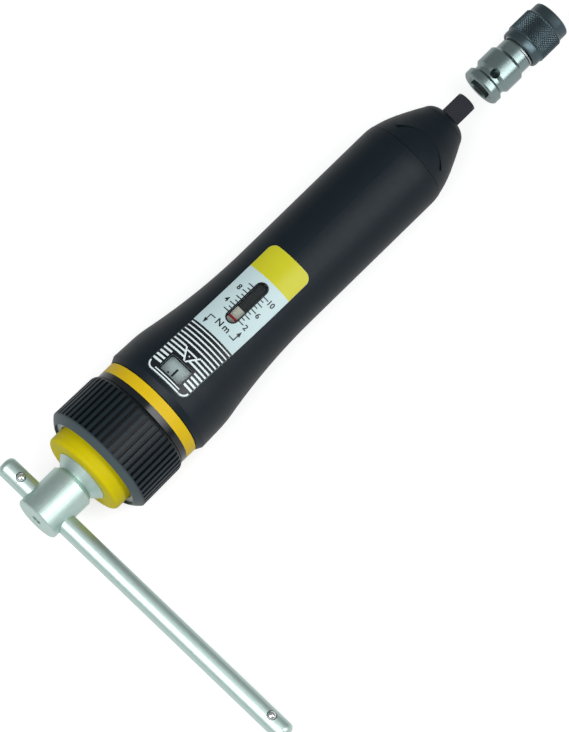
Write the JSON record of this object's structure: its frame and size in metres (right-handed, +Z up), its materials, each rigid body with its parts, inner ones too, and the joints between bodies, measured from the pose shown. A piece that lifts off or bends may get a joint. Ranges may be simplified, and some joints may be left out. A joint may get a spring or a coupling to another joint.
{
  "type": "torque screwdriver",
  "caption": "Adjustable torque screwdriver with a sliding T-handle, scale window, ribbed setting collar and lock ring, square drive and a separate bit adapter.",
  "frame": {"origin": "middle of the square drive's end face", "axes": "+X out of the drive along the tool's axis, +Z up from the ground that the tool lies on"},
  "size_m": [0.22, 0.1158, 0.0378],
  "materials": {
    "dark_plastic": "fine-grained dark blue-grey moulded plastic",
    "black_gloss": "glossy black",
    "golden_band": "golden yellow",
    "yellow_plastic": "bright yellow moulded plastic",
    "grey_plastic": "light grey",
    "label_print": "printed silver and yellow field with scale",
    "clear_lens": "clear",
    "drum_aluminium": "satin with engraved figures",
    "cream_plastic": "cream with a red line",
    "black_steel": "black oxide",
    "satin_nickel": "satin nickel",
    "satin_chrome": "satin chrome",
    "hardened_steel": "oiled steel",
    "bright_steel": "polished steel",
    "bronze": "sintered bronze",
    "black_rubber": "black rubber"
  },
  "bodies": {
    "handle": {"grip_shell": "dark_plastic", "nose_cap": "dark_plastic", "front_bush": "bronze", "clutch_housing": "hardened_steel", "label_plate": "label_print", "scale_lens": "clear_lens", "dial_lens": "clear_lens", "index_ring": "golden_band", "neck_ring": "black_gloss", "rear_core": "hardened_steel", "core_screws": "hardened_steel", "core_pin": "hardened_steel", "handle_socket": "satin_chrome", "lock_detent_ring": "hardened_steel", "thrust_washer": "hardened_steel", "thrust_ring": "hardened_steel", "main_spring": "hardened_steel"},
    "drive": {"drive_shaft": "black_steel"},
    "plate": {"pressure_plate": "hardened_steel", "clutch_balls": "bright_steel"},
    "nut": {"setting_nut": "hardened_steel", "spring_seat": "hardened_steel", "scale_pointer": "cream_plastic"},
    "collar": {"adjusting_collar": "dark_plastic", "adjusting_sleeve": "hardened_steel", "collar_screws": "hardened_steel", "dial_drum": "drum_aluminium", "bezel_ring": "grey_plastic"},
    "lock": {"lock_ring": "yellow_plastic"},
    "t_handle": {"t_head": "satin_chrome", "stub_o_ring": "black_rubber"},
    "bar": {"t_bar": "satin_chrome", "long_detent_spring": "hardened_steel", "short_detent_spring": "hardened_steel"},
    "long_ball": {"long_detent_ball": "bright_steel"},
    "short_ball": {"short_detent_ball": "bright_steel"},
    "adapter": {"adapter_body": "satin_nickel", "bit_magnet": "hardened_steel", "snap_ring": "hardened_steel", "quick_spring": "hardened_steel"},
    "sleeve": {"quick_sleeve": "black_steel"},
    "ball": {"bit_ball": "bright_steel"}
  },
  "joints": [
    {"name": "drive_click", "type": "hinge", "parent": "handle", "child": "drive", "pos_m": [0, 0, 0], "axis": [-1, 0, 0], "range_deg": [0, 8], "stiffness_Nm_per_rad": 0.5, "springref_deg": -5.73},
    {"name": "plate_lift", "type": "slide", "parent": "handle", "child": "plate", "axis": [-1, 0, 0], "range_m": [0, 0.0007], "deforming": ["main_spring"]},
    {"name": "collar_turn", "type": "hinge", "parent": "handle", "child": "collar", "pos_m": [0, 0, 0], "axis": [1, 0, 0], "range_deg": [-36, 2844]},
    {"name": "nut_travel", "type": "slide", "parent": "handle", "child": "nut", "axis": [1, 0, 0], "range_m": [-0.00014, 0.0105], "deforming": ["main_spring"]},
    {"name": "lock_push", "type": "slide", "parent": "handle", "child": "lock", "axis": [1, 0, 0], "range_m": [0, 0.0025]},
    {"name": "t_handle_pull", "type": "slide", "parent": "handle", "child": "t_handle", "axis": [-1, 0, 0], "range_m": [0, 0.0118]},
    {"name": "bar_slide", "type": "slide", "parent": "t_handle", "child": "bar", "axis": [0, -0.9868, -0.1621], "range_m": [-0.0827, 0.0037]},
    {"name": "long_ball_press", "type": "slide", "parent": "bar", "child": "long_ball", "axis": [-0.1736, 0.1597, -0.9718], "range_m": [0, 0.0007], "stiffness_N_per_m": 200, "springref_m": -0.001, "deforming": ["long_detent_spring"]},
    {"name": "short_ball_press", "type": "slide", "parent": "bar", "child": "short_ball", "axis": [0, 0.1621, -0.9868], "range_m": [0, 0.0007], "stiffness_N_per_m": 200, "springref_m": -0.001, "deforming": ["short_detent_spring"]},
    {"name": "adapter_slide", "type": "slide", "parent": "drive", "child": "adapter", "axis": [-1, 0, 0], "range_m": [0, 0.0133]},
    {"name": "sleeve_pull", "type": "slide", "parent": "adapter", "child": "sleeve", "axis": [-1, 0, 0], "range_m": [0, 0.003], "stiffness_N_per_m": 300, "springref_m": -0.002, "deforming": ["quick_spring"]},
    {"name": "bit_ball_release", "type": "slide", "parent": "adapter", "child": "ball", "axis": [0, 0.3228, -0.9465], "range_m": [0, 0.00055]}
  ],
  "couplings": [
    {"joint": "plate_lift", "follows": "drive_click", "m_per_rad": 0.0049015},
    {"joint": "nut_travel", "follows": "collar_turn", "m_per_rad": 0.00021008},
    {"joint": "bit_ball_release", "follows": "sleeve_pull", "ratio": 0.167}
  ]
}
